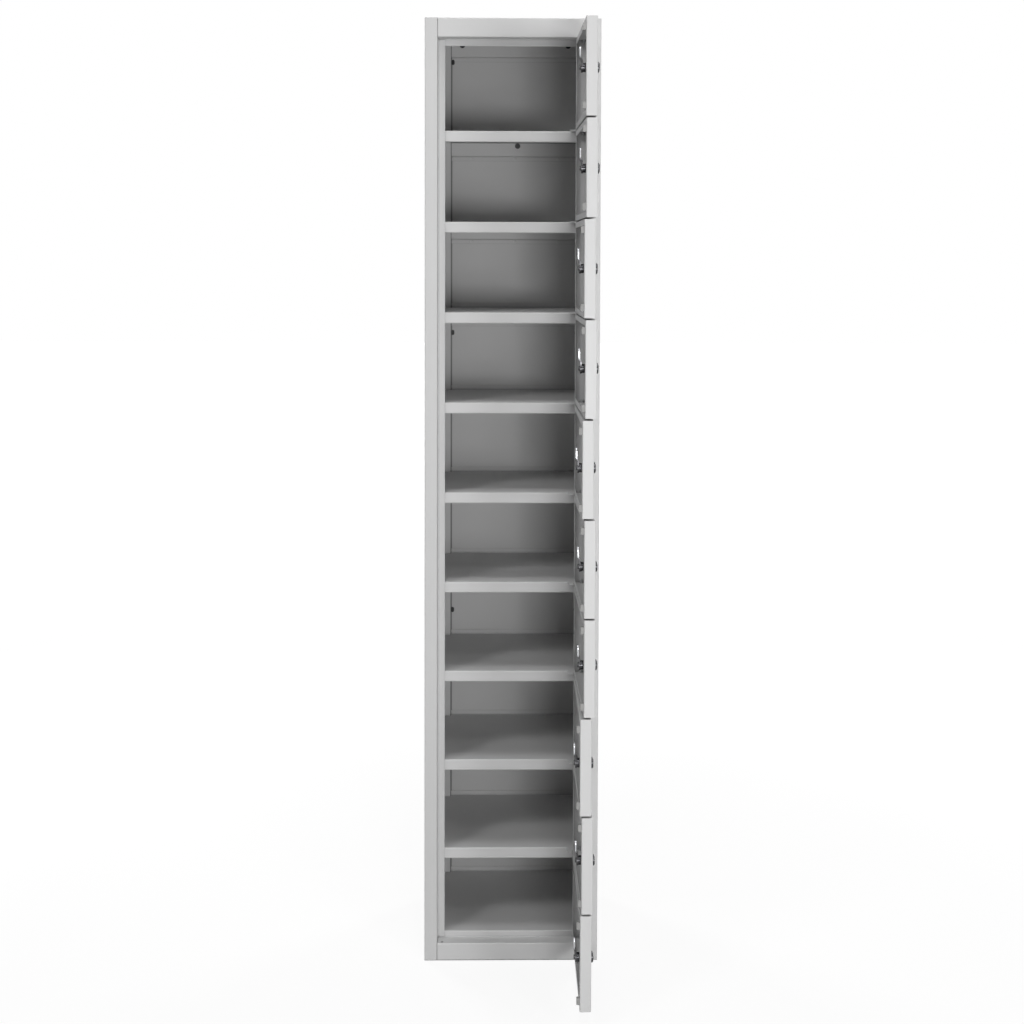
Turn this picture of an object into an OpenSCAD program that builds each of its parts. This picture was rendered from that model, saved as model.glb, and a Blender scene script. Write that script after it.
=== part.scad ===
// A compartment locker: a tall case of folded sheet steel with one column of
// small doors. Each door turns on two pivot pins at its right edge and has a
// cam lock near its left one. X runs to the right, Y to the back and Z up, and
// the origin is the middle of the four floor bolts, at floor level.

/* [Case] */
// Height of the case
case_h = 1800; // [1700:10:1900]
// Width of the case
case_w = 332; // [310:1:380]
// Depth of the case
case_d = 305; // [285:5:400]
// Thickness of the sheet steel
sheet_t = 0.8; // [0.7:0.1:1]
// Inside radius of a fold
fold_r = 1.2; // [0.8:0.1:1.6]
// Width of the plinth's return and of the floor angles' legs
foot_flange = 22; // [18:1:30]
// Thickness of the floor angles
floor_angle_t = 1.5; // [1.2:0.1:2.5]
// Width of the flat bands round the back panel's pressed-out field
back_band = 33; // [30:1:38]
// Depth to which the back panel's field is pressed out
back_dish = 8; // [6:1:12]
// Width of the back panel's welding rim behind the side bands
back_rim = 22; // [12:1:26]
// Gap at each seam between two flanges in one plane
seam_gap = 0.6; // [0.3:0.1:1]

/* [Door frame] */
// Width of each side panel's front face
jamb_face = 24; // [20:0.5:30]
// Depth of the recess that the doors close into
jamb_depth = 26; // [25:0.5:30]
// Width of the strip that runs behind the doors' edges
stop_w = 13; // [11:0.5:16]
// Height of the header above the doors
header_h = 36; // [34:1:60]
// Height of the plinth below the doors
plinth_h = 33.5; // [28:0.5:60]

/* [Compartments] */
// Height of the bottom floor above the plinth's ledge
floor_rise = 12; // [10:1:20]
// Height of a shelf's front lip
lip_h = 21; // [16:1:26]
// Width of the lip's return underneath
lip_return = 10; // [6:1:14]
// Height of the welding flanges at the sides of a shelf
shelf_flange = 15; // [10:1:20]
// Height of the rail's web behind each shelf
rail_web = 30; // [24:1:36]
// Height of the rail's welding flanges, above and below the web
rail_flange = 9; // [7:1:12]

/* [Doors] */
// Number of doors in the column
doors = 10; // [8:1:10]
// Thickness of a door
door_t = 20; // [18:0.5:21]
// Width of the lip turned in round the back of a door
door_lip = 10; // [8:0.5:14]
// Gap between two doors
door_gap = 3.4; // [3.2:0.1:4]
// Gap above the top door
head_gap = 2; // [1.5:0.1:4]
// Gap below the bottom door
foot_gap = 4.4; // [2:0.1:6]
// Gap between a closed door and the frame at each side
side_gap = 2.5; // [2.4:0.1:3]
// Width of the rubber buffers on a door's back
buffer_w = 8; // [6:0.5:8]
// Height of the rubber buffers
buffer_h = 12; // [8:1:20]
// Distance from a door's top and bottom edges to its buffers
buffer_inset = 12; // [11:1:24]

/* [Hinges] */
// Distance from the frame's side to a door's pivot
pivot_side = 9.5; // [9.2:0.1:11]
// Distance from the front of the case to a door's pivot
pivot_back = 6.5; // [6:0.1:7]
// Radius of a pivot pin
pin_r = 2.5; // [2:0.1:3]
// Running clearance of a pin in a door
pin_fit = 0.08; // [0.04:0.01:0.1]
// Length of a pin inside a door
pin_reach = 7; // [5:0.5:10]
// Radius of the collar that carries a door
collar_r = 4.5; // [3.8:0.1:5]
// Clearance between a collar and a door
collar_fit = 0.15; // [0.1:0.05:0.2]
// Thickness of a hinge bracket
bracket_t = 1.5; // [1.2:0.1:2]
// Length of a hinge bracket
bracket_l = 34; // [26:1:40]
// Height of the flange that welds a bracket to the frame
bracket_flange = 10; // [8:1:14]
// Radius of a bracket's free corner
bracket_corner_r = 6; // [3:1:8]

/* [Locks] */
// Distance from a door's free edge to its lock
lock_inset = 28; // [25:1:34]
// Radius of a lock's head
lock_head_r = 9.5; // [9:0.1:11]
// Height of a lock's head
lock_head_h = 4.5; // [3:0.5:6]
// Radius of a lock's barrel
barrel_r = 8; // [7.5:0.1:8.5]
// Radius of the plug that the key turns
plug_r = 6; // [5.5:0.1:6.4]
// Running clearance of the plug in the barrel
plug_fit = 0.06; // [0.04:0.01:0.1]
// Width of the fixing nut across its flats
nut_flats = 22; // [20:0.5:24]
// Thickness of the fixing nut
nut_t = 4.5; // [3:0.5:6]
// Length of the cam from the lock's axis to its tip
cam_reach = 36; // [34:1:40]
// Width of the cam's arm
cam_w = 14; // [12:1:16]
// Thickness of the cam
cam_t = 2.5; // [2:0.1:3]
// Height of the crank in the cam's arm
cam_crank = 3; // [2:0.5:3.5]
// Clearance between the locked cam and the strip in front of it
cam_gap = 0.8; // [0.5:0.1:1.2]
// Side of the plug's square tail in the cam
tail_side = 7; // [6:0.5:7.5]
// Radius of the cam screw's head
screw_head_r = 4.5; // [4:0.1:5]

/* [Fixings] */
// Distance from a side panel's outer face to its floor bolts
bolt_inset = 12; // [10:0.5:14]
// Distance between the front and back floor bolts
bolt_spacing = 200; // [160:10:220]
// Radius of a floor bolt's hole
bolt_hole_r = 4.5; // [4:0.5:5]
// Radius of a wall plug's cap
plug_cap_r = 5.5; // [4.5:0.1:6]
// Distance between the two wall plugs behind the header
top_plug_spacing = 220; // [160:10:240]
// Distance from the roof to the wall plugs behind the header
top_plug_drop = 9; // [8:0.5:14]

/* [Hidden] */
// Angle at which each door stands open, from the top one down
SWING = [92, 92.2, 91.6, 92.1, 91.2, 92, 92.1, 90.8, 91.5, 91.1];
fold_steps = 4;
half_t = sheet_t / 2;
fold_outer_r = fold_r + sheet_t;
side_x = case_w / 2;
wall_x = side_x - sheet_t;
jamb_x = side_x - jamb_face;
stop_x = jamb_x - stop_w;
back_x = side_x - back_band;
seam_x = back_x - seam_gap;
front_y = -case_d / 2;
back_y = case_d / 2;
stop_y = front_y + jamb_depth;
lip_y = stop_y + sheet_t;
field_y = back_y - sheet_t;
band_y = back_y - back_dish - sheet_t;
head_z = case_h - header_h;
floor_z = plinth_h + floor_rise;
// How much wider than the bands' inner edges the pressed-out field is
dish_margin = 1.5;
dish_corner_r = 6;
// How far welding flanges stay short of the folds beside them
weld_inset = 5;
// Clearance that keeps two pieces of one body from cutting each other
seat_gap = 0.05;
// Back edge of the roof and of the shelves where they are widest
plate_y = band_y - fold_r - seat_gap;

pitch = (head_z - plinth_h - head_gap - foot_gap + door_gap) / doors;
door_h = pitch - door_gap;
function door_top(i) = head_z - head_gap - (i - 1) * pitch;
function door_mid(i) = door_top(i) - door_h / 2;
function shelf_z(i) = door_top(i) - door_h - door_gap / 2;
function swing(i) = SWING[(i - 1) % len(SWING)];

hinge_x = jamb_x - side_gap;
free_x = -hinge_x;
rim_y = front_y + door_t;
pivot_x = jamb_x - pivot_side;
pivot_y = front_y + pivot_back;
lock_x = free_x + lock_inset;
cam_y = lip_y + cam_gap;
hub_y = cam_y - cam_crank;
// Gap between a closed door's buffers and the strip, and behind a lock's barrel
rest_gap = 0.3;
bracket_setback = 1;
lock_chamfer = 1.2;
plug_recess = 0.8;
// Width, height and depth of the keyway
keyway = [1.4, 8, 5];
cam_hub_r = 9;
// Distances from the lock's axis to the start and the end of the crank
crank_place = [12, 17];
screw_head_t = 2.6;
screw_taper = 0.8;
// Width and depth of the cross in the screw's head
screw_cross = [1, 1.2];
// Radius and length of the cam screw's shank
screw_shank = [2, 9];
// Radius and height of the riveted heads at the top and bottom pins
pin_head = [4, 2];
plug_stem_r = 3.8;
plug_cap_t = 1.2;
plug_stem_l = 4;
// Width and height of the oblong plugs beside the side bands, and the rim round their stems
seam_plug = [6.4, 10.6];
seam_plug_rim = 1.2;
// Compartments that have a pair of them, and their distance below the top of the door
PLUG_PLACES = [[1, 5], [4, 51], [7, 119.5]];

function two(i) = i < 10 ? str("0", i) : str(i);
function numbered(name, n) = [for (i = [1 : n]) str(name, "_", two(i))];

// Folded sheet

function unit(v) = v / norm(v);
function left_of(v) = [-v.y, v.x];
function turned(v, a) = [v.x * cos(a) - v.y * sin(a), v.x * sin(a) + v.y * cos(a)];
function turn_at(u, v) = atan2(u.x * v.y - u.y * v.x, u * v);

// Points and normals round the fold at b, on the middle of a sheet of thickness t
function fold(a, b, c, t) =
    let (r = fold_r + t / 2, u = unit(b - a), w = turn_at(u, unit(c - b)), s = sign(w),
         start = b - u * r * tan(abs(w) / 2), centre = start + s * r * left_of(u))
    [for (k = [0 : fold_steps])
        let (n = left_of(turned(u, w * k / fold_steps))) [centre - s * r * n, n]];

function path_end(a, b, p) = [[p, left_of(unit(b - a))]];

// Section of a sheet whose middle follows a path, with a fold at each corner
module sheet(path, t = sheet_t) {
    n = len(path) - 1;
    folds = [for (k = [1 : n - 1]) each fold(path[k - 1], path[k], path[k + 1], t)];
    line = concat(path_end(path[0], path[1], path[0]), folds,
                  path_end(path[n - 1], path[n], path[n]));
    polygon(concat(
        [for (p = line) p[0] + t / 2 * p[1]],
        [for (k = [len(line) - 1 : -1 : 0]) line[k][0] - t / 2 * line[k][1]]));
}

// Rectangle whose two lower corners are rounded by low_r and its two upper ones by high_r
module round_rect(low, high, low_r, high_r) {
    corners = [[low.x, low.y, 180, low_r, 1, 1], [high.x, low.y, 270, low_r, -1, 1],
               [high.x, high.y, 0, high_r, -1, -1], [low.x, high.y, 90, high_r, 1, -1]];
    polygon([for (c = corners) each
        c[3] == 0 ? [[c.x, c.y]] : [for (k = [0 : fold_steps])
            let (a = c.z + 90 * k / fold_steps)
            [c.x + c[4] * c[3] + c[3] * cos(a), c.y + c[5] * c[3] + c[3] * sin(a)]]]);
}

// Extrudes a Y-Z section along X, centred
module across(width) {
    rotate([90, 0, 90]) linear_extrude(width, center = true) children();
}

// Extrudes an X-Z outline towards the back, from y
module from_y(y, depth) {
    translate([0, y + depth, 0]) rotate([90, 0, 0]) linear_extrude(depth) children();
}

module block(low, high) {
    translate(low) cube(high - low);
}

module both_sides() {
    children();
    mirror([1, 0, 0]) children();
}

module at_lock(i) {
    translate([lock_x, 0, door_mid(i)]) rotate([-90, 0, 0]) children();
}

// Turns what is drawn as closed to where door i stands
module with_door(i) {
    translate([pivot_x, pivot_y, 0]) rotate([0, 0, swing(i)])
        translate([-pivot_x, -pivot_y, 0]) children();
}

// Case

// One side of the case; its front is folded into the door frame's post
module side_panel() {
    post = [[-jamb_x - half_t, front_y + half_t], [-side_x + half_t, front_y + half_t],
            [-side_x + half_t, band_y + half_t], [-back_x, band_y + half_t]];
    plain = concat([[-jamb_x - half_t, stop_y]], post);
    with_stop = concat([[-stop_x, stop_y + half_t], [-jamb_x - half_t, stop_y + half_t]], post);
    stop_h = head_z - plinth_h - 2 * fold_r;
    difference() {
        union() {
            linear_extrude(case_h) sheet(plain);
            translate([0, 0, plinth_h + fold_r]) linear_extrude(stop_h) sheet(with_stop);
        }
        // Room for the roof, which lies on the post
        block([fold_r - wall_x, front_y + sheet_t, case_h - sheet_t], [1 - jamb_x, stop_y + 1, case_h + 1]);
    }
}

module side_panel_left() {
    color("gainsboro") side_panel();
}

module side_panel_right() {
    color("gainsboro") mirror([1, 0, 0]) side_panel();
}

// Angles welded inside the feet of the side panels, with the holes for the floor bolts
module floor_angles() {
    half = floor_angle_t / 2;
    low_y = lip_y + weld_inset;
    color("gainsboro") both_sides() difference() {
        from_y(low_y, band_y - weld_inset - low_y)
            sheet([[wall_x - foot_flange, half], [wall_x - half, half], [wall_x - half, foot_flange]],
                  floor_angle_t);
        for (y = [-0.5, 0.5] * bolt_spacing)
            translate([side_x - bolt_inset, y, -1])
                cylinder(r = bolt_hole_r, h = floor_angle_t + 2, $fn = 48);
    }
}

// Front of the header or plinth; its ends fold back into flanges that are welded to the posts
module folded_front(low_z, high_z, section) {
    corner = [jamb_x - half_t, front_y + half_t];
    end = [corner.x, stop_y - weld_inset];
    translate([0, 0, low_z + fold_outer_r]) linear_extrude(high_z - low_z - 2 * fold_outer_r)
        sheet([[-end.x, end.y], [-corner.x, corner.y], corner, end]);
    intersection() {
        across(2 * jamb_x) sheet(section);
        linear_extrude(2 * case_h, center = true)
            round_rect([-jamb_x, front_y], [jamb_x, 1], fold_outer_r, 0);
    }
}

// Roof, header, the strip above the doors and the band along the back's top edge
module top_panel() {
    roof_z = case_h - half_t;
    under_z = case_h - back_band + half_t;
    mid = [0, roof_z];
    header = [mid, [front_y + half_t, roof_z], [front_y + half_t, head_z + half_t],
              [lip_y + half_t, head_z + half_t], [lip_y + half_t, head_z - stop_w]];
    rear = [mid, [band_y + half_t, roof_z], [band_y + half_t, under_z],
            [field_y - half_t, under_z], [field_y - half_t, case_h - back_band - rail_flange]];
    color("gainsboro") difference() {
        union() {
            folded_front(head_z, case_h, header);
            across(2 * seam_x) sheet(rear);
            block([-wall_x, front_y + fold_outer_r, case_h - sheet_t], [wall_x, plate_y, case_h]);
            block([fold_r - wall_x, front_y + sheet_t, case_h - sheet_t],
                  [wall_x - fold_r, front_y + 2 * fold_outer_r, case_h]);
            both_sides() block([wall_x - sheet_t, lip_y, case_h - shelf_flange],
                               [wall_x, band_y - weld_inset, case_h - half_t]);
        }
        both_sides() translate([pivot_x, pivot_y, head_z - 1])
            cylinder(r = pin_r + seat_gap, h = sheet_t + 2, $fn = 48);
        both_sides() translate([top_plug_spacing / 2, 0, case_h - top_plug_drop]) plug_hole(band_y);
        seam_plug_places()
            from_y(field_y - plug_cap_t - seat_gap, 2 * plug_cap_t) seam_plug_outline(seat_gap);
    }
}

// Plinth, its ledge, and the floor of the lowest compartment
module base_panel() {
    floor_mid = [0, floor_z - half_t];
    ledge_z = plinth_h - half_t;
    riser = [[lip_y + half_t, floor_mid[1]], floor_mid];
    front = concat([[front_y + foot_flange, half_t], [front_y + half_t, half_t],
                    [front_y + half_t, ledge_z], [lip_y + half_t, ledge_z]], riser);
    wide = concat([[lip_y + half_t, plinth_h]], riser);
    rear = [floor_mid, [field_y - half_t, floor_mid[1]], [field_y - half_t, floor_z + rail_flange]];
    color("gainsboro") difference() {
        union() {
            folded_front(0, plinth_h, front);
            across(2 * wall_x) sheet(wide);
            across(2 * seam_x) sheet(rear);
            shelf_plate(floor_z);
        }
        both_sides() translate([pivot_x, pivot_y, plinth_h - sheet_t - 1])
            cylinder(r = pin_r + seat_gap, h = sheet_t + 2, $fn = 48);
    }
}

// Back panel: a welding rim round a shallow pressed-out field
module back_panel() {
    field_low = [-back_x - dish_margin, back_band - dish_margin];
    field_high = [back_x + dish_margin, case_h - back_band + sheet_t + dish_margin];
    rim_x = back_x + back_rim;
    wall = [sheet_t, sheet_t];
    rim_y = band_y + sheet_t;
    color("silver") difference() {
        union() {
            block([-rim_x, rim_y, 0], [rim_x, rim_y + sheet_t, case_h - sheet_t]);
            from_y(rim_y, back_dish)
                round_rect(field_low - wall, field_high + wall, dish_corner_r, dish_corner_r);
        }
        from_y(rim_y - 1, back_dish + 1 - sheet_t)
            round_rect(field_low, field_high, dish_corner_r - sheet_t, dish_corner_r - sheet_t);
        both_sides() translate([top_plug_spacing / 2, 0, case_h - top_plug_drop]) plug_hole(rim_y);
        seam_plug_places() from_y(field_y - 1, sheet_t + 2) seam_plug_outline(seat_gap - seam_plug_rim);
    }
}

// Top of a shelf or floor with its two side flanges
module shelf_plate(z) {
    block([-wall_x, lip_y + fold_outer_r, z - sheet_t], [wall_x, plate_y, z]);
    both_sides() block([wall_x - sheet_t, lip_y + lip_return + weld_inset, z - shelf_flange],
                       [wall_x, plate_y - weld_inset, z - half_t]);
}

// Shelf k: a folded front lip, welding flanges at the sides and a tongue over the rail
module shelf(k) {
    z = shelf_z(k);
    lip = [[lip_y + lip_return, z - lip_h + half_t], [lip_y + half_t, z - lip_h + half_t],
           [lip_y + half_t, z - half_t], [lip_y + lip_return, z - half_t]];
    tongue_y = field_y - sheet_t - fold_r - seat_gap;
    color("gainsboro") union() {
        across(2 * wall_x) sheet(lip);
        shelf_plate(z);
        block([-seam_x, 0, z - sheet_t], [seam_x, tongue_y, z]);
    }
}

// Hat-section rails that carry the backs of the shelves
module shelf_rails() {
    color("lightgray") for (k = [1 : doors - 1]) {
        top_z = shelf_z(k) - sheet_t - half_t;
        web_y = band_y + half_t;
        under_z = shelf_z(k) - rail_web + half_t;
        difference() {
            across(2 * seam_x) sheet([
                [field_y - half_t, shelf_z(k) + rail_flange], [field_y - half_t, top_z], [web_y, top_z],
                [web_y, under_z], [field_y - half_t, under_z],
                [field_y - half_t, shelf_z(k) - rail_web - rail_flange]]);
            if (k == 1) rail_plug_place() plug_hole(band_y);
        }
    }
}

// Plugs that close the fixing holes in the back

module rail_plug_place() {
    translate([plug_cap_r, 0, shelf_z(1) - sheet_t - plug_cap_r - fold_outer_r]) children();
}

module seam_plug_places() {
    for (p = PLUG_PLACES) if (p[0] <= doors)
        both_sides() translate([back_x - seam_plug.x / 2, 0, door_top(p[0]) - p[1]]) children();
}

// Outline of an oblong plug, larger all round by grow
module seam_plug_outline(grow) {
    r = seam_plug.x / 2 + grow;
    rise = (seam_plug.y - seam_plug.x) / 2;
    translate([-r, -rise]) square([2 * r, 2 * rise]);
    for (z = [-rise, rise]) translate([0, z]) circle(r = r, $fn = 32);
}

module plug_hole(y) {
    from_y(y - 1, 2 * sheet_t + 2) circle(r = plug_stem_r + seat_gap, $fn = 32);
}

module wall_plug(y) {
    translate([0, y, 0]) difference() {
        union() {
            from_y(-plug_cap_t, plug_cap_t) circle(r = plug_cap_r, $fn = 40);
            from_y(-half_t, plug_stem_l) circle(r = plug_stem_r, $fn = 32);
        }
        from_y(-plug_cap_t - 1, 2) circle(r = plug_stem_r / 2, $fn = 24);
    }
}

module wall_plugs() {
    color([0.1, 0.1, 0.1]) {
        both_sides() translate([top_plug_spacing / 2, 0, case_h - top_plug_drop]) wall_plug(band_y);
        rail_plug_place() wall_plug(band_y);
        seam_plug_places() {
            from_y(field_y - plug_cap_t, plug_cap_t) seam_plug_outline(0);
            from_y(field_y - half_t, sheet_t + half_t) seam_plug_outline(-seam_plug_rim);
        }
    }
}

// Hinges

// Tongues on the right-hand post that reach into the gaps between the doors
module hinge_brackets() {
    tip_x = jamb_x - bracket_l;
    tip_y = front_y + bracket_setback;
    color("gainsboro") for (k = [1 : doors - 1]) {
        low_z = shelf_z(k) - bracket_t / 2;
        difference() {
            union() {
                translate([0, 0, low_z]) linear_extrude(bracket_t)
                    round_rect([tip_x, tip_y], [jamb_x, stop_y], bracket_corner_r, fold_outer_r);
                block([jamb_x - bracket_corner_r, tip_y, low_z],
                      [jamb_x, tip_y + bracket_corner_r, low_z + bracket_t]);
                block([stop_x, stop_y - bracket_t, low_z - bracket_flange + bracket_t],
                      [jamb_x - fold_outer_r, stop_y, low_z + bracket_t / 2]);
            }
            translate([pivot_x, pivot_y, low_z - 1])
                cylinder(r = pin_r + seat_gap, h = bracket_t + 2, $fn = 48);
        }
    }
}

// A pin on the pivot axis with a collar, each from its low to its high end
module pin(pin_z, collars) {
    translate([pivot_x, pivot_y, 0]) {
        translate([0, 0, pin_z[0]]) cylinder(r = pin_r, h = pin_z[1] - pin_z[0], $fn = 48);
        for (c = collars) translate([0, 0, c[0]]) cylinder(r = c[2], h = c[1] - c[0], $fn = 48);
    }
}

module pivot_pins() {
    inner_z = bracket_t / 2;
    outer_z = door_gap / 2 - collar_fit;
    reach_z = door_gap / 2 + pin_reach;
    color("silver") {
        pin([head_z - head_gap - pin_reach, head_z + sheet_t + pin_head[1]],
            [[head_z - head_gap + collar_fit, head_z, collar_r],
             [head_z + sheet_t, head_z + sheet_t + pin_head[1], pin_head[0]]]);
        for (k = [1 : doors - 1])
            translate([0, 0, shelf_z(k)])
                pin([-reach_z, reach_z], [[inner_z, outer_z, collar_r], [-outer_z, -inner_z, collar_r]]);
        pin([plinth_h - sheet_t - pin_head[1], plinth_h + foot_gap + pin_reach],
            [[plinth_h, plinth_h + foot_gap - collar_fit, collar_r],
             [plinth_h - sheet_t - pin_head[1], plinth_h - sheet_t, pin_head[0]]]);
    }
}

// Doors

// Door i: a folded pan with its edges turned in
module door(i) {
    low_z = door_top(i) - door_h;
    high_z = door_top(i);
    inner_y = rim_y - half_t;
    pan = [[hinge_x - door_lip, inner_y], [hinge_x - half_t, inner_y], [hinge_x - half_t, front_y + half_t],
           [free_x + half_t, front_y + half_t], [free_x + half_t, inner_y], [free_x + door_lip, inner_y]];
    color("whitesmoke") with_door(i) difference() {
        intersection() {
            union() {
                translate([0, 0, low_z]) linear_extrude(door_h) sheet(pan);
                for (z = [low_z, high_z - sheet_t]) translate([0, 0, z]) linear_extrude(sheet_t)
                    round_rect([free_x, front_y], [hinge_x, rim_y], fold_outer_r, fold_outer_r);
                for (z = [low_z + half_t, high_z - door_lip])
                    block([free_x + fold_outer_r, rim_y - sheet_t, z],
                          [hinge_x - fold_outer_r, rim_y, z + door_lip - half_t]);
            }
            across(case_w) rotate(90) mirror([0, 1, 0])
                round_rect([low_z, front_y], [high_z, rim_y], fold_outer_r, 0);
        }
        translate([pivot_x, pivot_y, low_z - 1]) cylinder(r = pin_r + pin_fit, h = door_h + 2, $fn = 48);
        at_lock(i) translate([0, 0, front_y - 1])
            cylinder(r = barrel_r + seat_gap, h = sheet_t + 2, $fn = 64);
    }
}

// Rubber pads that meet the strip when door i is closed
module door_buffers(i) {
    pad_t = stop_y - rim_y - rest_gap;
    taper = pad_t / 4;
    pad_x = free_x + (door_lip - buffer_w) / 2;
    color("darkgray") with_door(i)
        for (z = [door_top(i) - buffer_inset - buffer_h, door_top(i) - door_h + buffer_inset])
            translate([pad_x, rim_y, z]) linear_extrude(buffer_h)
                polygon([[0, 0], [buffer_w, 0], [buffer_w - taper, pad_t], [taper, pad_t]]);
}

// Locks

// Head and threaded barrel of lock i, with the nut that holds it in the door
module lock_barrel(i) {
    head_y = front_y - lock_head_h;
    end_y = hub_y - rest_gap;
    color("silver") with_door(i) at_lock(i) {
        difference() {
            union() {
                translate([0, 0, head_y])
                    cylinder(r1 = lock_head_r - lock_chamfer, r2 = lock_head_r, h = lock_chamfer, $fn = 72);
                translate([0, 0, head_y + lock_chamfer])
                    cylinder(r = lock_head_r, h = lock_head_h - lock_chamfer, $fn = 72);
                translate([0, 0, front_y - half_t])
                    cylinder(r = barrel_r, h = end_y - front_y + half_t, $fn = 64);
            }
            translate([0, 0, head_y - 1]) cylinder(r = plug_r + plug_fit, h = end_y - head_y + 2, $fn = 64);
        }
        translate([0, 0, front_y + sheet_t]) difference() {
            cylinder(d = nut_flats / cos(30), h = nut_t, $fn = 6);
            translate([0, 0, -1]) cylinder(r = barrel_r + seat_gap, h = nut_t + 2, $fn = 64);
        }
    }
}

// Plug, cam and cam screw of lock i, with the cam pointing up
module lock_cam(i) {
    plug_front = front_y - lock_head_h + plug_recess;
    arm = [[cam_hub_r + 1, hub_y + cam_t / 2], [-crank_place[0], hub_y + cam_t / 2],
           [-crank_place[1], cam_y + cam_t / 2], [-cam_reach - 1, cam_y + cam_t / 2]];
    color("silver") with_door(i) at_lock(i) {
        difference() {
            union() {
                translate([0, 0, plug_front])
                    cylinder(r = plug_r, h = hub_y - seat_gap - plug_front, $fn = 64);
                translate([-tail_side / 2, -tail_side / 2, hub_y - 1])
                    cube([tail_side, tail_side, cam_t + 1]);
            }
            translate([-keyway.x / 2, -keyway.y / 2, plug_front - 1])
                cube([keyway.x, keyway.y, keyway.z + 1]);
            translate([0, 0, hub_y + cam_t - screw_shank[1]])
                cylinder(r = screw_shank[0] + seat_gap, h = screw_shank[1] + 1, $fn = 32);
        }
        intersection() {
            across(3 * cam_hub_r) sheet(arm, cam_t);
            translate([0, 0, hub_y - 1]) linear_extrude(cam_crank + cam_t + 2) difference() {
                union() {
                    circle(r = cam_hub_r, $fn = 64);
                    translate([-cam_w / 2, -cam_reach + cam_w / 2])
                        square([cam_w, cam_reach - cam_w / 2]);
                    translate([0, -cam_reach + cam_w / 2]) circle(d = cam_w, $fn = 48);
                }
                square(tail_side + 2 * seat_gap, center = true);
            }
        }
        translate([0, 0, hub_y + cam_t + seat_gap]) {
            difference() {
                cylinder(r1 = screw_head_r, r2 = screw_head_r - screw_taper, h = screw_head_t, $fn = 48);
                for (a = [0, 90]) rotate(a)
                    translate([-screw_head_r / 2, -screw_cross.x / 2, screw_head_t - screw_cross.y])
                        cube([screw_head_r, screw_cross.x, screw_cross.y + 1]);
            }
            translate([0, 0, 1 - screw_shank[1]])
                cylinder(r = screw_shank[0], h = screw_shank[1] - 1, $fn = 32);
        }
    }
}

side_panel_left();
side_panel_right();
top_panel();
base_panel();
back_panel();
floor_angles();
for (k = [1 : doors - 1]) shelf(k);
shelf_rails();
hinge_brackets();
pivot_pins();
wall_plugs();
for (i = [1 : doors]) door(i);
for (i = [1 : doors]) door_buffers(i);
for (i = [1 : doors]) lock_barrel(i);
for (i = [1 : doors]) lock_cam(i);
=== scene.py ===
"""Looks of the compartment locker: materials for its CAD solids, and the floor, lamps and camera.

The case and the doors are powder-coated steel, the locks plated, the buffers rubber and the plugs plastic.
"""

import math

import bpy
from mathutils import Matrix, Vector

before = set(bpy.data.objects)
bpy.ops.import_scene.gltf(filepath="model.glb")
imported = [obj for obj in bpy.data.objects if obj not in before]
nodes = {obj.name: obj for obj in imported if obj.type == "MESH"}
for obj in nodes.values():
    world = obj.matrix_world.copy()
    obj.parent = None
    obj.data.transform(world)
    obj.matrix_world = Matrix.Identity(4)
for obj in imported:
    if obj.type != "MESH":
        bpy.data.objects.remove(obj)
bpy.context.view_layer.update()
scene = bpy.context.scene

DOORS = range(1, 11)

# The case's sizes that the looks follow, in metres: one door to the next, heights of the top shelf and the
# top lock's axis, place of the back's seams, and half the sides of the floor below the case
PITCH = 0.17275
TOP_SHELF_Z, TOP_LOCK_Z = 1.59095, 1.67733
SEAM_X, SEAM_FRONT_Y = 0.1325, 0.12
UNDER_CASE_X, UNDER_CASE_Y = 0.165, 0.151

# Rays that see the white floor and backdrop, so that metal mirrors them too
SEEN_RAYS = ("Is Camera Ray", "Is Glossy Ray", "Is Transmission Ray")


def two(i):
    return "%02d" % i


# Shading nodes

# The part of 0 to 1 where most of a noise's values lie, and the two stops of a tint's ramp
NOISE_RANGE = (0.3, 0.7)
TINT_STOPS = (0.25, 0.75)

# The sockets of a colour mix, which share their names with those of its other kinds
MIX_FACTOR, MIX_A, MIX_B = 0, 6, 7

# Rays sent out to find edges and creases
EDGE_SAMPLES = 6


def first_output(node):
    """A node's first output that is switched on, such as the colour of a mix."""
    return next(out for out in node.outputs if out.enabled)


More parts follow.
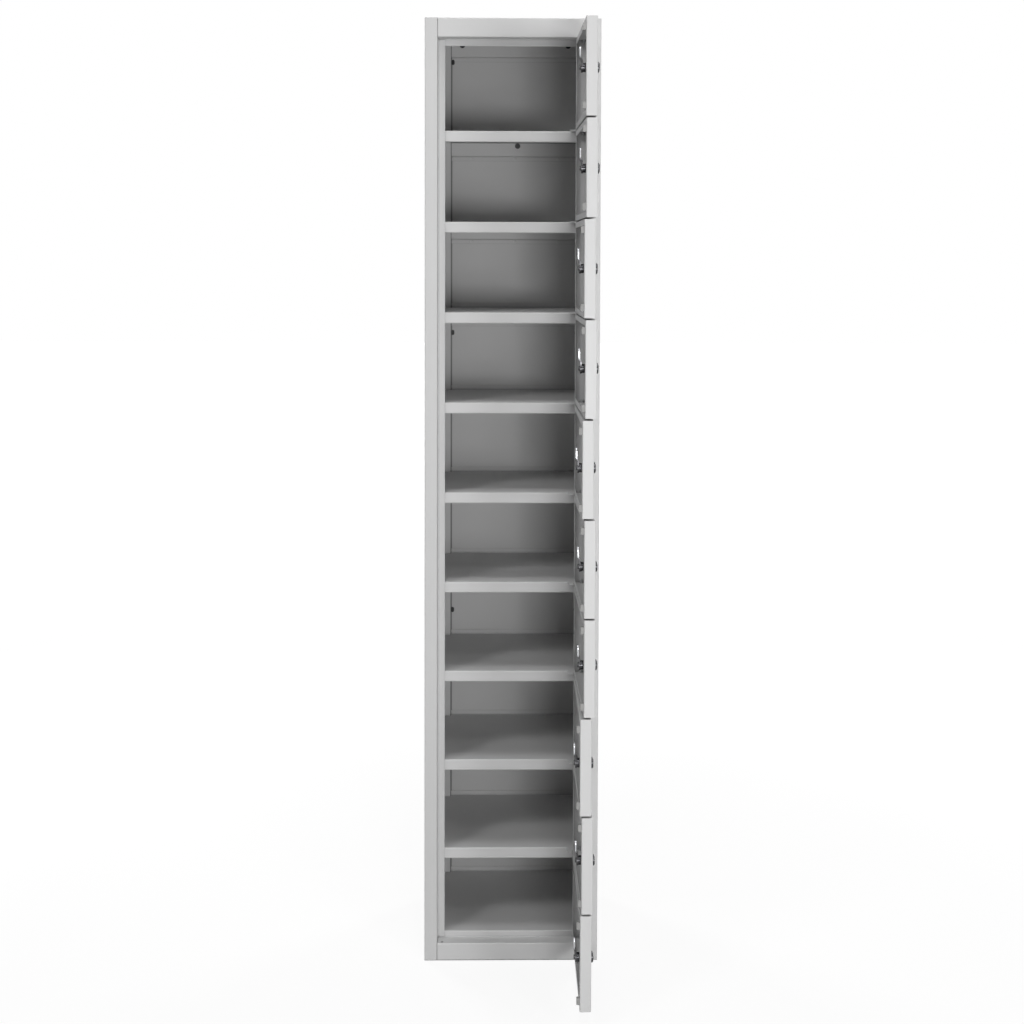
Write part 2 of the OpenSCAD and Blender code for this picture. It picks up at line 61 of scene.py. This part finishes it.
class Shader:
    """A material under construction: node(), link() and a few shorthands."""

    def __init__(self, name):
        self.material = bpy.data.materials.new(name)
        self.material.use_nodes = True
        self.tree = self.material.node_tree
        self.tree.nodes.clear()
        self.principled = self.node("ShaderNodeBsdfPrincipled")
        self.output = self.node("ShaderNodeOutputMaterial")
        self.link(self.principled, "BSDF", self.output, "Surface")
        self.place = self.node("ShaderNodeTexCoord")

    def node(self, kind, **settings):
        made = self.tree.nodes.new(kind)
        for name, value in settings.items():
            setattr(made, name, value)
        return made

    def link(self, a, out, b, into):
        self.tree.links.new(a.outputs[out], b.inputs[into])

    def coordinates(self):
        """The object's own coordinates, split into X, Y and Z."""
        made = self.node("ShaderNodeSeparateXYZ")
        self.link(self.place, "Object", made, "Vector")
        return made

    def noise(self, scale, detail=2.0, roughness=0.5, stretch=None):
        """Noise of scale features a metre, times stretch along each axis where that is given."""
        made = self.node("ShaderNodeTexNoise")
        made.inputs["Scale"].default_value = scale
        made.inputs["Detail"].default_value = detail
        made.inputs["Roughness"].default_value = roughness
        if stretch:
            mapping = self.node("ShaderNodeMapping")
            mapping.inputs["Scale"].default_value = stretch
            self.link(self.place, "Object", mapping, "Vector")
            self.link(mapping, "Vector", made, "Vector")
        else:
            self.link(self.place, "Object", made, "Vector")
        return made

    def spread(self, source, out, low, high, into=None, sharp=(0.0, 1.0)):
        """Maps source's output from sharp[0]..sharp[1] to low..high."""
        made = self.node("ShaderNodeMapRange")
        made.inputs["From Min"].default_value = sharp[0]
        made.inputs["From Max"].default_value = sharp[1]
        made.inputs["To Min"].default_value = low
        made.inputs["To Max"].default_value = high
        self.link(source, out, made, "Value")
        if into:
            self.link(made, "Result", self.principled, into)
        return made

    def math(self, operation, *values):
        """A math node whose values are numbers, nodes or (node, output) pairs."""
        made = self.node("ShaderNodeMath", operation=operation)
        for i, value in enumerate(values):
            if isinstance(value, tuple):
                self.tree.links.new(value[0].outputs[value[1]], made.inputs[i])
            elif isinstance(value, bpy.types.Node):
                self.tree.links.new(value.outputs[0], made.inputs[i])
            else:
                made.inputs[i].default_value = value
        return made

    def tint(self, color, source, out, amount):
        """Colour that varies by amount, up and down, with source."""
        ramp = self.node("ShaderNodeValToRGB")
        for element, position, change in zip(ramp.color_ramp.elements, TINT_STOPS, (-amount, amount)):
            element.position = position
            element.color = [c * (1 + change) for c in color] + [1]
        self.link(source, out, ramp, "Fac")
        return ramp

    def mix(self, factor, a, b, blend="MIX"):
        """A colour mix whose factor and colours are values or nodes."""
        made = self.node("ShaderNodeMix", data_type="RGBA", blend_type=blend)
        for value, socket in ((factor, MIX_FACTOR), (a, MIX_A), (b, MIX_B)):
            if isinstance(value, bpy.types.Node):
                self.tree.links.new(first_output(value), made.inputs[socket])
            else:
                made.inputs[socket].default_value = value
        return made

    def color(self, node):
        """Gives the surface the colour that node puts out."""
        self.tree.links.new(first_output(node), self.principled.inputs["Base Color"])

    def soft_edges(self, radius):
        """Normals that round the edges by radius, in metres."""
        made = self.node("ShaderNodeBevel", samples=EDGE_SAMPLES)
        made.inputs["Radius"].default_value = radius
        return made

    def bump(self, height, distance, strength=1.0, below=None):
        """Relief of distance, in metres, laid over the normals of below."""
        made = self.node("ShaderNodeBump")
        made.inputs["Distance"].default_value = distance
        made.inputs["Strength"].default_value = strength
        self.tree.links.new(height.outputs[0], made.inputs["Height"])
        if below:
            self.link(below, "Normal", made, "Normal")
        return made

    def set(self, **values):
        for name, value in values.items():
            self.principled.inputs[name.replace("_", " ")].default_value = value


# Powder coat
CLOUD_SCALE, PEEL_SCALE, GRAIN_SCALE = 3.5, 520, 2600
CLOUD_TONE, GRAIN_TONE = 0.018, 0.03
PEEL_RELIEF, GRAIN_RELIEF, MARK_RELIEF = 0.00012, 0.00002, 0.0006
COAT_ROUGHNESS = (0.40, 0.52)
FOLD_SOFTNESS = 0.0009

# Painted shade in the creases: how far it reaches, its tone, and how open a crease is where it is darkest
# and gone
CREASE_SHADE_REACH, CREASE_SHADE_TONE = 0.006, 0.40
CREASE_SHADE_FULL, CREASE_SHADE_GONE = 0.3, 0.75


def powder_coat(name, color, marks=None, painted_shade=None):
    """Satin powder coat: orange peel, faint cloudiness, softened folds and painted shade darkening the
    creases.
    """
    s = Shader(name)
    cloud = s.noise(CLOUD_SCALE, detail=3)
    peel = s.noise(PEEL_SCALE, detail=2.5, roughness=0.55)
    grain = s.noise(GRAIN_SCALE, detail=1)
    tone = s.tint(color, cloud, "Fac", CLOUD_TONE)
    specks = s.spread(grain, "Fac", 1 - GRAIN_TONE, 1 + GRAIN_TONE)
    speckled = s.mix(1.0, tone, specks, blend="MULTIPLY")
    # Painted shade: the colour darkens in creases and corners, by how closed in each point is
    crease = s.node("ShaderNodeAmbientOcclusion", samples=EDGE_SAMPLES)
    crease.inputs["Distance"].default_value = CREASE_SHADE_REACH
    crease_shade = s.spread(crease, "AO", CREASE_SHADE_TONE, 1.0, sharp=(CREASE_SHADE_FULL, CREASE_SHADE_GONE))
    shaded_tone = s.mix(1.0, speckled, crease_shade, blend="MULTIPLY")
    # Painted shade along the seams, for the paint that is given it
    if painted_shade:
        shaded_tone = s.mix(1.0, shaded_tone, painted_shade(s), blend="MULTIPLY")
    s.color(shaded_tone)
    s.spread(cloud, "Fac", *COAT_ROUGHNESS, into="Roughness", sharp=NOISE_RANGE)
    s.set(IOR=1.5)
    coarse = s.bump(peel, PEEL_RELIEF, strength=0.5, below=s.soft_edges(FOLD_SOFTNESS))
    last = s.bump(grain, GRAIN_RELIEF, strength=0.4, below=coarse)
    if marks:
        last = s.bump(marks(s), MARK_RELIEF, below=last)
    s.link(last, "Normal", s.principled, "Normal")
    return s.material


# The rails' spot-weld marks: how far apart, their radius and how far below each shelf
WELD_STEP, WELD_RADIUS, WELD_DROP = 0.09, 0.0032, 0.0345


def weld_marks(s):
    """0 inside each spot-weld mark of the rails and 1 around it."""
    xyz = s.coordinates()
    # Whole steps are added so that the values stay above zero
    across = s.math("PINGPONG", s.math("ADD", (xyz, "X"), 8 * WELD_STEP), WELD_STEP / 2)
    up = s.math("PINGPONG", s.math("ADD", (xyz, "Z"), 12 * PITCH - TOP_SHELF_Z + WELD_DROP), PITCH / 2)
    squares = [s.math("MULTIPLY", side, side) for side in (across, up)]
    away = s.math("SQRT", s.math("ADD", *squares))
    return s.spread(away, 0, 0.0, 1.0, sharp=(0.75 * WELD_RADIUS, WELD_RADIUS))


# The painted shade at a seam: its tone, how far from the seam's middle it is that dark, and where it ends
SEAM_SHADE_TONE = 0.35
SEAM_DARK, SEAM_END = 0.0008, 0.0018


def seam_shade_lines(s):
    """Painted shade as dark lines along the two upright seams between the side panels and the back."""
    xyz = s.coordinates()
    aside = s.math("ABSOLUTE", s.math("SUBTRACT", s.math("ABSOLUTE", (xyz, "X")), SEAM_X))
    unshaded = s.spread(aside, 0, SEAM_SHADE_TONE, 1.0, sharp=(SEAM_DARK, SEAM_END))
    return s.math("MAXIMUM", unshaded, s.math("LESS_THAN", (xyz, "Y"), SEAM_FRONT_Y))


# How far above each lock's axis the cam's root, darkened as painted shade, ends and its bright arm begins
ROOT_END, ARM_START = 0.015, 0.020


def cam_shaded_root(s):
    """0 round the screw that holds each cam, where the plating is painted dark as shade, and 1 on the cam's
    arm.
    """
    xyz = s.coordinates()
    above = s.math("WRAP", s.math("SUBTRACT", (xyz, "Z"), TOP_LOCK_Z), PITCH / 2, -PITCH / 2)
    return s.spread(above, 0, 0.0, 1.0, sharp=(ROOT_END, ARM_START))


# Metal
SMUDGE_SCALE, BRUSH_SCALE = 60, 900
SMUDGE_TONE = 0.06
BRUSH_RELIEF = 0.00002
METAL_SOFTNESS = 0.0003

# Shares of a metal's roughness that the smudges vary between
SHINY, DULL = 0.7, 1.4


def plated(name, color, rough, brush, shade_mask=None, shade_color=None):
    """Brushed plating with faint smudges, and painted shade in a dark colour where the given mask puts out
    0.
    """
    s = Shader(name)
    smudge = s.noise(SMUDGE_SCALE, detail=3)
    lines = s.noise(BRUSH_SCALE, detail=2, stretch=brush)
    tone = s.tint(color, smudge, "Fac", SMUDGE_TONE)
    if shade_mask:
        tone = s.mix(shade_mask(s), shade_color + (1,), tone)
    s.color(tone)
    s.spread(smudge, "Fac", SHINY * rough, DULL * rough, into="Roughness", sharp=NOISE_RANGE)
    s.set(Metallic=1.0)
    brushed = s.bump(lines, BRUSH_RELIEF, strength=0.5, below=s.soft_edges(METAL_SOFTNESS))
    s.link(brushed, "Normal", s.principled, "Normal")
    return s.material


# Plastic and rubber
MOULDED_CLOUD_SCALE, MOULDED_CLOUD_TONE = 90, 0.08
MOULDED_RELIEF = 0.00005
MOULDED_SOFTNESS = 0.0004
MOULDED_ROUGH_CHANGE = 0.08


def moulded(name, color, rough, grain_scale):
    """Moulded plastic or rubber with a fine eroded grain."""
    s = Shader(name)
    grain = s.noise(grain_scale, detail=3, roughness=0.6)
    cloud = s.noise(MOULDED_CLOUD_SCALE, detail=2)
    s.color(s.tint(color, cloud, "Fac", MOULDED_CLOUD_TONE))
    smooth, coarse = rough - MOULDED_ROUGH_CHANGE, rough + MOULDED_ROUGH_CHANGE
    s.spread(grain, "Fac", smooth, coarse, into="Roughness", sharp=NOISE_RANGE)
    grained = s.bump(grain, MOULDED_RELIEF, strength=0.6, below=s.soft_edges(MOULDED_SOFTNESS))
    s.link(grained, "Normal", s.principled, "Normal")
    return s.material


LIGHT_GREY = (0.62, 0.62, 0.62)
# The doors' grey is the case's grey made a little lighter as painted light, for their edges standing nearer
# the lamps
DOOR_LIT_GREY = (0.65, 0.65, 0.65)

case_paint = powder_coat("case_paint", LIGHT_GREY)
# The panels' paint has painted shade along the back's two upright seams
panel_paint = powder_coat("panel_paint", LIGHT_GREY, painted_shade=seam_shade_lines)
rail_paint = powder_coat("rail_paint", LIGHT_GREY, marks=weld_marks)
door_paint = powder_coat("door_paint", DOOR_LIT_GREY)
zinc = plated("zinc", (0.60, 0.61, 0.62), rough=0.32, brush=(1, 1, 8))
# The lock heads' near-black colour is a painted reflection of dark surroundings on their plating
nickel = plated("lock_nickel", (0.06, 0.06, 0.064), rough=0.22, brush=(1, 1, 3))
# The cams' roots round their screws are painted near-black as shade; their arms keep the plating's colour
cam_steel = plated("cam_steel", (0.44, 0.45, 0.46), rough=0.28, brush=(1, 1, 0.15),
                   shade_mask=cam_shaded_root, shade_color=(0.07, 0.07, 0.073))
black_plastic = moulded("plug_plastic", (0.018, 0.018, 0.019), rough=0.45, grain_scale=1400)
grey_rubber = moulded("buffer_rubber", (0.33, 0.33, 0.325), rough=0.6, grain_scale=900)

# What isn't named here is case paint
materials = {"pivot_pins": zinc, "wall_plugs": black_plastic, "shelf_rails": rail_paint,
             "side_panel_left": panel_paint, "side_panel_right": panel_paint, "back_panel": panel_paint}
for i in DOORS:
    materials["door_" + two(i)] = door_paint
    materials["door_buffers_" + two(i)] = grey_rubber
    materials["lock_barrel_" + two(i)] = nickel
    materials["lock_cam_" + two(i)] = cam_steel
for name, node in nodes.items():
    node.data.materials.clear()
    node.data.materials.append(materials.get(name, case_paint))


# Stage
FLOOR_SIZE, FLOOR_Z = 40, -0.0005
FLOOR_GREY = 0.55
FLOOR_GLOW = 1.13

# The glow's share grows from near the locker, where its shadow lies, to far from it
GLOW_NEAR, GLOW_FAR = 0.78, 0.98
NEAR, FAR = 1.0, 5.0


def stage_material():
    """Grey floor that glows white to the rays that see it, and takes shadows in what the glow leaves."""
    s = Shader("floor_white")
    s.set(Base_Color=(FLOOR_GREY, FLOOR_GREY, FLOOR_GREY, 1), Roughness=0.9)
    white = s.node("ShaderNodeEmission")
    white.inputs["Strength"].default_value = FLOOR_GLOW
    path = s.node("ShaderNodeLightPath")
    camera_ray, *mirror_rays = ((path, ray) for ray in SEEN_RAYS)
    seen = s.math("MAXIMUM", camera_ray, s.math("MAXIMUM", *mirror_rays))
    away = s.node("ShaderNodeVectorMath", operation="LENGTH")
    s.link(s.place, "Object", away, "Vector")
    bright = s.spread(away, "Value", GLOW_NEAR, GLOW_FAR, sharp=(NEAR, FAR))
    # No glow below the case, where the floor shows through its holes
    xyz = s.coordinates()
    beyond = [s.math("GREATER_THAN", s.math("ABSOLUTE", (xyz, axis)), limit)
              for axis, limit in (("X", UNDER_CASE_X), ("Y", UNDER_CASE_Y))]
    share = s.math("MULTIPLY", s.math("MULTIPLY", seen, bright), s.math("MAXIMUM", *beyond))
    mixed = s.node("ShaderNodeMixShader")
    for socket, source in enumerate((share, s.principled, white)):
        s.tree.links.new(source.outputs[0], mixed.inputs[socket])
    s.tree.links.new(mixed.outputs[0], s.output.inputs["Surface"])
    return s.material


bpy.ops.mesh.primitive_plane_add(size=FLOOR_SIZE, location=(0, 0, FLOOR_Z))
floor = bpy.context.object
floor.name = "floor"
floor.data.materials.append(stage_material())

# World: a little light from all round, and a white backdrop for the rays that see it
AMBIENT_LIGHT, BACKDROP_LIGHT = 0.05, 1.0

world = bpy.data.worlds.new("studio")
scene.world = world
world.use_nodes = True
tree = world.node_tree
tree.nodes.clear()
output = tree.nodes.new("ShaderNodeOutputWorld")
ambient = tree.nodes.new("ShaderNodeBackground")
backdrop = tree.nodes.new("ShaderNodeBackground")
for background, strength in ((ambient, AMBIENT_LIGHT), (backdrop, BACKDROP_LIGHT)):
    background.inputs["Strength"].default_value = strength
    background.inputs["Color"].default_value = (1, 1, 1, 1)
path = tree.nodes.new("ShaderNodeLightPath")
seen = path.outputs[SEEN_RAYS[0]]
for ray in SEEN_RAYS[1:]:
    most = tree.nodes.new("ShaderNodeMath")
    most.operation = "MAXIMUM"
    tree.links.new(seen, most.inputs[0])
    tree.links.new(path.outputs[ray], most.inputs[1])
    seen = most.outputs[0]
choose = tree.nodes.new("ShaderNodeMixShader")
for socket, source in enumerate((seen, ambient.outputs[0], backdrop.outputs[0])):
    tree.links.new(source, choose.inputs[socket])
tree.links.new(choose.outputs[0], output.inputs["Surface"])


# Lamps
def softbox(name, place, aim, size, watts):
    """A soft rectangular lamp at place, turned to aim and hidden from the camera."""
    lamp = bpy.data.lights.new(name, "AREA")
    lamp.shape = "RECTANGLE"
    lamp.size, lamp.size_y = size
    lamp.energy = watts
    holder = bpy.data.objects.new(name, lamp)
    scene.collection.objects.link(holder)
    holder.location = place
    holder.rotation_euler = (Vector(aim) - Vector(place)).to_track_quat("-Z", "Y").to_euler()
    holder.visible_camera = False


MIDDLE = (0.0, 0.0, 1.0)
softbox("key", (-2.1, -2.65, 3.15), MIDDLE, size=(0.8, 0.8), watts=28)
softbox("front", (0.5, -3.2, 0.95), MIDDLE, size=(0.5, 0.5), watts=20)
softbox("low_front", (0.8, -3.1, 0.5), MIDDLE, size=(0.5, 0.5), watts=8)
softbox("right_front", (2.0, -3.0, 1.4), MIDDLE, size=(0.8, 0.8), watts=33)
softbox("high_front", (0.3, -2.6, 3.7), MIDDLE, size=(0.6, 0.6), watts=8)
softbox("overhead", (0.0, -0.8, 4.0), (0.0, 0.0, 0.8), size=(0.8, 0.8), watts=25)

# For the sides and the back. The case keeps the left one off the open doors' inner faces
softbox("left", (-1.7, 1.9, 1.2), (0.0, 0.0, 0.9), size=(0.7, 2.0), watts=42)
softbox("right", (1.7, 1.9, 1.2), (0.0, 0.0, 0.9), size=(0.7, 2.0), watts=34)

# Camera, fitted to the edges of the locker in the photo
FRAME_PX = 1024
FOCAL_PX = 1451.9
CENTRE_X_PX, CENTRE_Y_PX = 558.1, 310.9
CAMERA_PLACE = (0.0424, -2.898, 1.3509)
YAW_DEG, DOWN_DEG, ROLL_DEG = 0.918, 2.107, 0.213
SENSOR_MM = 36

camera_data = bpy.data.cameras.new("camera")
camera = bpy.data.objects.new("camera", camera_data)
scene.collection.objects.link(camera)
scene.camera = camera
yaw, down, roll = math.radians(YAW_DEG), math.radians(DOWN_DEG), math.radians(ROLL_DEG)
forward = Vector((math.sin(yaw) * math.cos(down), math.cos(yaw) * math.cos(down), -math.sin(down)))
right = Vector((math.cos(yaw), -math.sin(yaw), 0))
up = right.cross(forward)
right, up = right * math.cos(roll) + up * math.sin(roll), up * math.cos(roll) - right * math.sin(roll)
turn = Matrix((right, up, -forward)).transposed()
camera.matrix_world = Matrix.Translation(CAMERA_PLACE) @ turn.to_4x4()
camera_data.sensor_width = SENSOR_MM
camera_data.sensor_fit = "HORIZONTAL"
camera_data.lens = SENSOR_MM * FOCAL_PX / FRAME_PX
camera_data.shift_x = (FRAME_PX / 2 - CENTRE_X_PX) / FRAME_PX
camera_data.shift_y = (CENTRE_Y_PX - FRAME_PX / 2) / FRAME_PX
camera_data.clip_end = 100

scene.view_settings.view_transform = "Standard"
